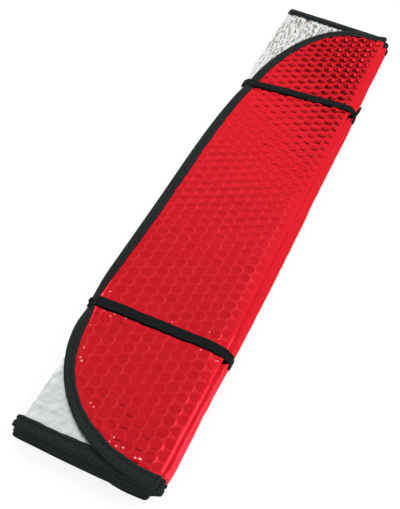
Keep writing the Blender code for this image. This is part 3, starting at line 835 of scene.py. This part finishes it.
class SUNSHADE_OT_film(bpy.types.Operator):
    """Adds the pleated bubble film, red on one face and silver on the other"""
    bl_idname = "sunshade.film"
    bl_label = "Bubble film"

    def execute(self, context):
        film = context.scene.sunshade_film
        step, roll_steps, corner_steps = 9 * MM, 8, 40
        runs = sheet_edge(step, roll_steps, corner_steps)
        section = pleat_section(step, roll_steps)
        sheet, rims = Film(), []
        for side in (RED, SILVER):
            near, bottom, far, top = [sheet.add([tuple(s.at(FILM_EDGE, side * HALF_CRUSHED)) for s in run])
                                      for run in runs]
            rims.append(near + bottom + far + top)
            far, top = far[::-1], top[::-1]
            self.cover(sheet, side, section, near, far, top, bottom, film)
        for i in range(len(rims[0])):
            j = (i + 1) % len(rims[0])
            sheet.face((rims[0][i], rims[0][j], rims[1][j], rims[1][i]), RED)
        places = settle(sheet.places)
        # only the silver foil is pulled: on the red one that would start past the stack's end
        red = metallised_film("red_metallised_film", film.red, tint=0.86, roughness=0.12, crumpled=0.20 * MM,
                              pulled_from=1.0)
        silver = metallised_film("silver_metallised_film", film.silver, tint=0.96, roughness=0.36,
                                 crumpled=0.10 * MM, pulled_from=0.13)
        piece = add_piece("bubble_film", places, sheet.faces, [red, silver], sheet.marks)
        # the bend attribute carries the painted highlights, shades and glints to the film's material
        bend = piece.data.attributes.new("bend", "FLOAT", "POINT")
        bend.data.foreach_set("value", sheet.painted_light)
        face_outwards(piece)
        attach(piece, "root")
        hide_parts("folded_sheet")
        return {"FINISHED"}

    def cover(self, sheet, side, section, near, far, top, bottom, film):
        """Meshes one face of the whole sheet: rolls at the creases and panels between them."""
        lines, crease, reach = {}, 0, HALF_LENGTH - FILM_EDGE
        for i, (y, z, red, panel) in enumerate(section):
            if panel is not None:
                continue
            if i and section[i - 1][3] is not None:
                crease_side, crease_y, crease_z = crease_centre(crease)
                crease += 1
            shows = (crease_side < 0) == (side == RED)
            xs = np.linspace(-reach, reach, 321 if shows else 91)[1:-1]
            turn = math.atan2((y - crease_y) * crease_side, z - crease_z)
            swell = crease_swell(xs, crease, turn) if shows else np.zeros_like(xs)
            across = side * (HALF_CRUSHED + swell)
            points = [(x, y + red.y * a, z + red.z * a) for x, a in zip(xs, across)]
            lines[i] = [near[i]] + sheet.add(points) + [far[i]]
        for i in range(len(section) - 1):
            if i in lines and i + 1 in lines:
                sheet.strip(lines[i], lines[i + 1], side)
        starts = [i for i in lines if i + 1 not in lines]
        ends = [i for i in lines if i - 1 not in lines]
        for panel in range(PANEL_COUNT):
            first, start = (starts[panel - 1], lines[starts[panel - 1]]) if panel else (-1, top)
            last, end = (ends[panel], lines[ends[panel]]) if panel < CREASE_COUNT else (len(section), bottom)
            loop = start + far[first + 1:last] + end[::-1] + near[first + 1:last][::-1]
            fill_panel(sheet, panel, side, loop, film)


# The binding tape

def even_stations(spacing):
    """Stations at even steps all round the sheet's edge, as arrays, and their places along it."""
    step, roll_steps, corner_steps = 4 * MM, 14, 150
    stations = [s for run in sheet_edge(step, roll_steps, corner_steps) for s in run]
    stations.append(stations[0])
    parts = [np.array([tuple(getattr(s, part)) for s in stations]) for part in ("place", "red", "inward")]
    return even_steps(parts, spacing, 2)


def even_steps(parts, spacing, multiple=1):
    """Even steps along a line: parts are its points and the directions there. Adds how far along each step is. The
    number of steps is a multiple of multiple."""
    along = np.concatenate([[0], np.cumsum(np.linalg.norm(np.diff(parts[0], axis=0), axis=1))])
    count = round(along[-1] / spacing / multiple) * multiple
    at = np.arange(count) * along[-1] / count
    places, *ways = [np.stack([np.interp(at, along, column) for column in part.T], axis=1) for part in parts]
    return places, *[way / np.linalg.norm(way, axis=1)[:, None] for way in ways], at


def loft(rows, count, first=0, closed=True):
    """Faces between rows of count points, each row closed on itself. The rows end in faces if they aren't closed."""
    loops = [list(range(first + k * count, first + (k + 1) * count)) for k in range(rows)]
    faces = []
    for a, b in zip(loops, loops[1:] + (loops[:1] if closed else [])):
        faces += [(a[i], a[(i + 1) % count], b[(i + 1) % count], b[i]) for i in range(count)]
    return faces if closed else faces + [tuple(loops[0]), tuple(loops[-1])]


class SUNSHADE_OT_tape(bpy.types.Operator):
    """Adds the woven tape that is folded over the sheet's edge, with its seam"""
    bl_idname = "sunshade.tape"
    bl_label = "Binding tape"

    def execute(self, context):
        tape = context.scene.sunshade_tape
        place, red, inward, at = even_stations(tape.stitch / 2)
        seam = tape.seam_depth / MM
        # the section in millimetres: how far inside the tape's front, and how far from the sheet's middle
        top = [(10.5, 0.70), (10.45, 1.20), (9.7, 1.52), (8.9, 1.68), (seam + 1.2, 1.70), (seam + 0.7, 0.90),
               (seam - 0.7, 0.90), (seam - 1.3, 1.66), (4.2, 1.70), (3.0, 1.66), (1.5, 1.50)]
        nose = [(1.0 * (1 - math.sin(turn)), 1.40 * math.cos(turn)) for turn in np.linspace(0.12, 0.88, 5) * math.pi]
        inner = [(9.8, -0.62), (seam, -0.61), (1.9, -0.85), (1.9, 0.85), (seam, 0.61), (9.8, 0.62)]
        section = top + nose + [(d, -o) for d, o in top[::-1]] + inner
        count = len(at)
        pull = np.where(np.arange(count) % 2 == 0, -0.060, 0.042)  # the seam draws the tape down at each stitch
        width_share = tape_share(place[:, 0], place[:, 1])
        rows, uvs, width = [], [], 0.0
        for k, (depth, offset) in enumerate(section):
            if k:
                width += math.dist(section[k - 1], (depth, offset))
            edge_wave = np.zeros(count)
            if depth > 9:
                edge_wave = 0.35 * ripple(at, np.full(count, 0.01 * np.sign(offset)), 13 * MM, 91)
                edge_wave += 0.25 * ripple(at, np.full(count, 0.02 * np.sign(offset)), 4 * MM, 92)
            lift = np.zeros(count)
            if abs(offset) > 0.9:
                lift = 0.10 * ripple(at, np.full(count, depth * MM), 8 * MM, 93)
                if abs(depth - seam) < 1:
                    lift += pull
            d = (1 + (depth - 1) * (width_share if depth > 1 else 1) + edge_wave)[:, None] * MM
            o = (offset + lift * np.sign(offset))[:, None] * MM
            rows.append(place + inward * d + red * o)
            uvs.append(np.stack([at, np.full(count, width * MM)], axis=1))
        cloth = woven_polyester("woven_polyester_tape", tape.colour)
        piece = add_piece("edge_tape", settle(np.concatenate(rows)), loft(len(section), count), [cloth],
                          uvs=np.concatenate(uvs))
        face_outwards(piece)
        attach(piece, "root")
        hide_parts("edge_binding")
        return {"FINISHED"}


class SUNSHADE_OT_stitches(bpy.types.Operator):
    """Adds the seam's stitches along both faces of the tape"""
    bl_idname = "sunshade.stitches"
    bl_label = "Stitches"

    def execute(self, context):
        tape = context.scene.sunshade_tape
        place, red, inward, at = even_stations(tape.stitch / 2)
        along = np.roll(place, -1, axis=0) - np.roll(place, 1, axis=0)
        along /= np.linalg.norm(along, axis=1)[:, None]
        rows, faces, ring = [], [], 6
        length, radius = tape.stitch * 0.86, 0.20 * MM
        # a stitch's rings: the place along it, the thickness, and the height over the tape in millimetres
        parts = ((-0.42, 0.35, -0.18), (-0.30, 0.9, 0.05), (0.0, 1.0, 0.14), (0.30, 0.9, 0.05), (0.42, 0.35, -0.18))
        depth = tape.seam_depth * tape_share(place[:, :1], place[:, 1:2])
        for side in (1, -1):
            up = red * side
            centre = place + inward * depth + up * 0.98 * MM
            for i in range(1, len(at), 2):
                first = len(rows)
                for share, thick, rise in parts:
                    for turn in (2 * math.pi * k / ring for k in range(ring)):
                        out = inward[i] * math.cos(turn) + up[i] * math.sin(turn) * 0.8
                        rows.append(centre[i] + along[i] * share * length + up[i] * rise * MM + out * radius * thick)
                faces += loft(len(parts), ring, first, closed=False)
        thread = spun_thread("spun_polyester_thread", tape.thread)
        piece = add_piece("tape_stitches", settle(rows), faces, [thread])
        face_outwards(piece)
        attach(piece, "root")
        return {"FINISHED"}


# The elastic straps

def outer_hull(points):
    """The convex hull of points in Y and Z, as corners in turning order."""
    points = sorted(set(points))
    half = []
    for sweep in (points, points[::-1]):
        chain = []
        for p in sweep:
            while len(chain) > 1 and ((chain[-1][0] - chain[-2][0]) * (p[1] - chain[-2][1])
                                      - (chain[-1][1] - chain[-2][1]) * (p[0] - chain[-2][0])) <= 0:
                chain.pop()
            chain.append(p)
        half.append(chain[:-1])
    return half[0] + half[1]


def stack_hull(x):
    """Corners of the outside of the stack at x, in Y and Z."""
    points = []
    for crease in range(CREASE_COUNT):
        side, y, z = crease_centre(crease)
        reach = CREASE_RADIUS + HALF_CRUSHED
        turns = [math.pi * i / 6 for i in range(7)]
        bend = [(y + side * math.sin(turn) * reach, z + math.cos(turn) * reach) for turn in turns]
        bend += [(y - side * inside * MM, z + way * reach) for inside in (1, 4) for way in (1, -1)]
        ys, zs = np.array(bend).T
        points += list(zip(ys.tolist(), press_folds(np.full_like(ys, x), ys, zs).tolist()))
        inner = y + side * (reach - 11 * MM)
        points += [(inner, z + way * (reach + 0.3 * MM)) for way in (1, -1)]
    for panel in (TOP_PANEL, BOTTOM_PANEL):
        loose = float(loose_edge_at(panel, np.array([x]))[0])
        points += [(y, panel_height(panel) + side * HALF_BOUND) for side in (1, -1)
                   for y in (loose, loose - TAPE_WIDTH)]
    return outer_hull(points)


def strap_line(x, spacing):
    """The middle of a strap's inner face in Y and Z, at even steps round the stack, with the way outwards."""
    gap = 0.3 * MM
    hull = stack_hull(x)
    path, normals = [], []
    for before, corner, after in zip(hull[-1:] + hull[:-1], hull, hull[1:] + hull[:1]):
        start = math.atan2(corner[1] - before[1], corner[0] - before[0]) - math.pi / 2
        turn = (math.atan2(after[1] - corner[1], after[0] - corner[0]) - math.pi / 2 - start) % (2 * math.pi)
        steps = max(1, int(turn / math.radians(12)))
        for i in range(steps + 1):
            angle = start + turn * i / steps
            path.append((corner[0] + gap * math.cos(angle), corner[1] + gap * math.sin(angle)))
            normals.append((math.cos(angle), math.sin(angle)))
    return even_steps([np.array(path + path[:1]), np.array(normals + normals[:1])], spacing)


def make_strap(name, x, slant, node, strap, elastic, seed):
    """A flat elastic loop with lengthwise ribs, drawn tight round the stack."""
    slope = math.tan(slant)
    path, normals, at = strap_line(x + slope * LOOSE_EDGE_Y, 1.2 * MM)
    count = len(at)
    half = STRAP_WIDTH / 2
    steps, deep, rounded = round(STRAP_WIDTH / strap.rib) * 3, 0.13 * MM, 0.25 * MM
    profile = []
    for k, a in enumerate(np.linspace(-half, half, steps + 1)):
        rib = deep * (0.5 - 0.5 * math.cos(2 * math.pi * k / 3)) if 0 < k < steps else -rounded
        profile.append((a, strap.thickness - deep + rib))
    profile += [(a, 0.0) for a in np.linspace(half * 0.97, -half * 0.97, 4)]
    rows, uvs = [], []
    for a, height in profile:
        wander = 0.30 * MM * ripple(at, np.full(count, 0.0), 17 * MM, seed)
        wander += 0.30 * MM * ripple(at, np.full(count, a), 5.5 * MM, seed + 1) * abs(a / half) ** 3
        rise = 0.10 * MM * ripple(at, np.full(count, a * 2), 12 * MM, seed + 2) if height else np.zeros(count)
        y = path[:, 0] + normals[:, 0] * (height + rise)
        z = path[:, 1] + normals[:, 1] * (height + rise)
        # the far strap's ends turn down a little further along
        ends = 2.2 * MM * smooth(np.abs(y), 42 * MM, 64 * MM) * (x > 0)
        rows.append(np.stack([x + slope * y + a + wander + ends, y, z], axis=1))
        uvs.append(np.stack([at, np.full(count, a)], axis=1))
    piece = add_piece(name, settle(np.concatenate(rows), folded=False), loft(len(profile), count), [elastic],
                      uvs=np.concatenate(uvs))
    face_outwards(piece)
    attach(piece, "root")
    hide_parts(node)


class SUNSHADE_OT_straps(bpy.types.Operator):
    """Adds the two elastic straps round the stack"""
    bl_idname = "sunshade.straps"
    bl_label = "Elastic straps"

    def execute(self, context):
        strap = context.scene.sunshade_strap
        elastic = knitted_elastic("knitted_elastic", strap.colour)
        make_strap("near_elastic", NEAR_STRAP_X, NEAR_STRAP_SLANT, "near_strap", strap, elastic, 101)
        make_strap("far_elastic", FAR_STRAP_X, FAR_STRAP_SLANT, "far_strap", strap, elastic, 111)
        return {"FINISHED"}


def add_thread(name, points, radius, material):
    """A loose thread through a few points."""
    curve = bpy.data.curves.new(name, "CURVE")
    curve.dimensions = "3D"
    curve.bevel_depth = radius
    curve.bevel_resolution = 2
    curve.use_fill_caps = True
    spline = curve.splines.new("NURBS")
    spline.points.add(len(points) - 1)
    spline.order_u = 3
    spline.use_endpoint_u = True
    for point, place in zip(spline.points, points):
        point.co = (*place, 1)
    curve.materials.append(material)
    obj = bpy.data.objects.new(name, curve)
    bpy.context.scene.collection.objects.link(obj)
    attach(obj, "root")


class SUNSHADE_OT_ends(bpy.types.Operator):
    """Adds the loose thread ends at a corner and the sewn end of the far strap"""
    bl_idname = "sunshade.ends"
    bl_label = "Thread ends and strap tab"

    def execute(self, context):
        tape, strap = context.scene.sunshade_tape, context.scene.sunshade_strap
        thread = spun_thread("black_sewing_thread", tape.colour)
        curls = (
            ((-294, -57, 26), (-291.5, -57.5, 28.6), (-289.5, -58.5, 28.8), (-290, -60.0, 28.2), (-291, -59, 28.6)),
            ((-293, -61, 24), (-291, -62, 27.5), (-289, -63.5, 27.2), (-290, -64.5, 26.5), (-291.5, -63, 27)))
        for i, curl in enumerate(curls):
            points = [(x * MM, y * MM, z * MM) for x, y, z in curl]
            add_thread(f"thread_end_{i + 1}", points, 0.32 * MM, thread)
        elastic = bpy.data.materials["knitted_elastic"]
        # the sewn end stands out from the strap's right side as a thin fin
        outline = [(157.5, -64.2), (163.0, -64.8), (168.8, -66.6), (169.6, -67.8), (166.5, -67.6), (160.5, -66.4),
                   (157.0, -65.6)]
        rows = [(x * MM, y * MM, (z + 0.3 * (x - 157)) * MM) for z in (20.5, 24.5) for x, y in outline]
        faces = loft(2, len(outline), closed=False)
        tab = add_piece("strap_tab", rows, faces, [elastic], uvs=[(x, y) for x, y, _ in rows])
        face_outwards(tab)
        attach(tab, "root")
        return {"FINISHED"}


# The studio

def studio_world(studio):
    """White walls all round, and a dark ceiling over the camera and behind it."""
    world = bpy.data.worlds.new("studio")
    world.use_nodes = True
    tree = world.node_tree
    tree.nodes.clear()
    way = add_node(tree, "TexCoord").outputs["Generated"]
    height = add_node(tree, "VectorMath", {0: way, 1: DARKEST}, operation="DOT_PRODUCT").outputs["Value"]
    grey = add_node(tree, "ValToRGB", {"Fac": height})
    stops = ((90, studio.walls), (73, studio.walls), (64, studio.ceiling), (48, studio.ceiling),
             (42, studio.overhead), (0, studio.overhead))
    # the levels by the angle from the ceiling's middle, in degrees
    for angle, level in stops:
        place = math.cos(math.radians(angle))
        stop = grey.color_ramp.elements.new(place) if angle < 90 else grey.color_ramp.elements[0]
        stop.color = (level, level, level, 1)
    grey.color_ramp.elements.remove(grey.color_ramp.elements[-1])
    light = add_node(tree, "Background", {"Color": grey.outputs["Color"], "Strength": 1.0})
    add_node(tree, "OutputWorld", {"Surface": light.outputs[0]})
    return world


def painted_floor(colour):
    """A white painted floor: to the eye it is plain white, and keeps a faint shadow."""
    material, tree = new_material("white_painted_floor")
    paint = add_node(tree, "BsdfDiffuse", {"Color": toned(colour, 0.30)})
    path = add_node(tree, "LightPath")
    seen = path.outputs["Is Camera Ray"]
    for ray in ("Is Glossy Ray", "Is Transmission Ray"):
        seen = add_node(tree, "Math", {0: seen, 1: path.outputs[ray]}, operation="MAXIMUM").outputs[0]
    glow = add_node(tree, "Emission", {"Color": (1, 1, 1, 1), "Strength": 0.82})
    both = add_node(tree, "AddShader", {0: paint.outputs[0], 1: glow.outputs[0]})
    mixed = add_node(tree, "MixShader", {0: seen, 1: paint.outputs[0], 2: both.outputs[0]})
    add_node(tree, "OutputMaterial", {"Surface": mixed.outputs[0]})
    return material


def add_lamp(name, place, target, size, power):
    """A round studio lamp turned towards target."""
    data = bpy.data.lights.new(name, "AREA")
    data.shape = "DISK"
    data.size = size
    data.energy = power
    lamp = bpy.data.objects.new(name, data)
    lamp.location = place
    lamp.rotation_euler = (Vector(target) - Vector(place)).to_track_quat("-Z", "Y").to_euler()
    bpy.context.scene.collection.objects.link(lamp)


class SUNSHADE_OT_studio(bpy.types.Operator):
    """Adds the floor, the studio's light and the camera"""
    bl_idname = "sunshade.studio"
    bl_label = "Studio"

    def execute(self, context):
        studio = context.scene.sunshade_studio
        scene, reach = context.scene, 6
        corners = [(x, y, 0.0) for x, y in ((-reach, -reach), (reach, -reach), (reach, reach), (-reach, reach))]
        floor = add_piece("floor", corners, [(0, 1, 2, 3)], [painted_floor(studio.floor)])
        scene.world = studio_world(studio)
        add_lamp("key_lamp", (0.4, -1.15, 1.55), (-0.1, 0, 0), size=1.0, power=6.5)
        add_lamp("fill_lamp", (0.6, 1.6, 1.2), (0, 0, 0), size=1.2, power=5.5)
        # the camera was worked out from the top panel's corners in the photograph
        place = Vector((-0.51582, -0.14647, 0.58320))
        forward, up = Vector((0.59493, 0.20725, -0.77660)), Vector((0.69142, 0.36074, 0.62595))
        right = forward.cross(up).normalized()
        up = right.cross(forward).normalized()
        data = bpy.data.cameras.new("camera")
        data.lens = 57.703
        camera = bpy.data.objects.new("camera", data)
        turned = Matrix((right, up, -forward)).transposed().to_4x4()
        camera.matrix_world = Matrix.Translation(place) @ turned
        scene.collection.objects.link(camera)
        scene.camera = camera
        scene.view_settings.view_transform = "Standard"
        return {"FINISHED"}


class SUNSHADE_PT_parts(bpy.types.Panel):
    """The shade's pieces and the sizes and colours that may be changed"""
    bl_idname = "SUNSHADE_PT_parts"
    bl_label = "Folded sunshade"
    bl_space_type = "VIEW_3D"
    bl_region_type = "UI"
    bl_category = "Sunshade"

    def draw(self, context):
        scene = context.scene
        for group in SETTINGS:
            settings = getattr(scene, group)
            for name in settings.bl_rna.properties.keys():
                if name not in ("rna_type", "name"):
                    self.layout.prop(settings, name)
        for operator in OPERATORS:
            self.layout.operator(operator.bl_idname)


SETTINGS = {"sunshade_film": FilmSettings, "sunshade_tape": TapeSettings, "sunshade_strap": StrapSettings,
            "sunshade_studio": StudioSettings}
OPERATORS = (SUNSHADE_OT_film, SUNSHADE_OT_tape, SUNSHADE_OT_stitches, SUNSHADE_OT_straps, SUNSHADE_OT_ends,
             SUNSHADE_OT_studio)


def register():
    for cls in (*SETTINGS.values(), *OPERATORS, SUNSHADE_PT_parts):
        bpy.utils.register_class(cls)
    for name, cls in SETTINGS.items():
        setattr(bpy.types.Scene, name, PointerProperty(type=cls))


def unregister():
    for name in SETTINGS:
        delattr(bpy.types.Scene, name)
    for cls in (SUNSHADE_PT_parts, *OPERATORS[::-1], *SETTINGS.values()):
        bpy.utils.unregister_class(cls)


def main():
    register()
    bpy.ops.sunshade.film()
    bpy.ops.sunshade.tape()
    bpy.ops.sunshade.stitches()
    bpy.ops.sunshade.straps()
    bpy.ops.sunshade.ends()
    bpy.ops.sunshade.studio()


if __name__ == "__main__":
    main()
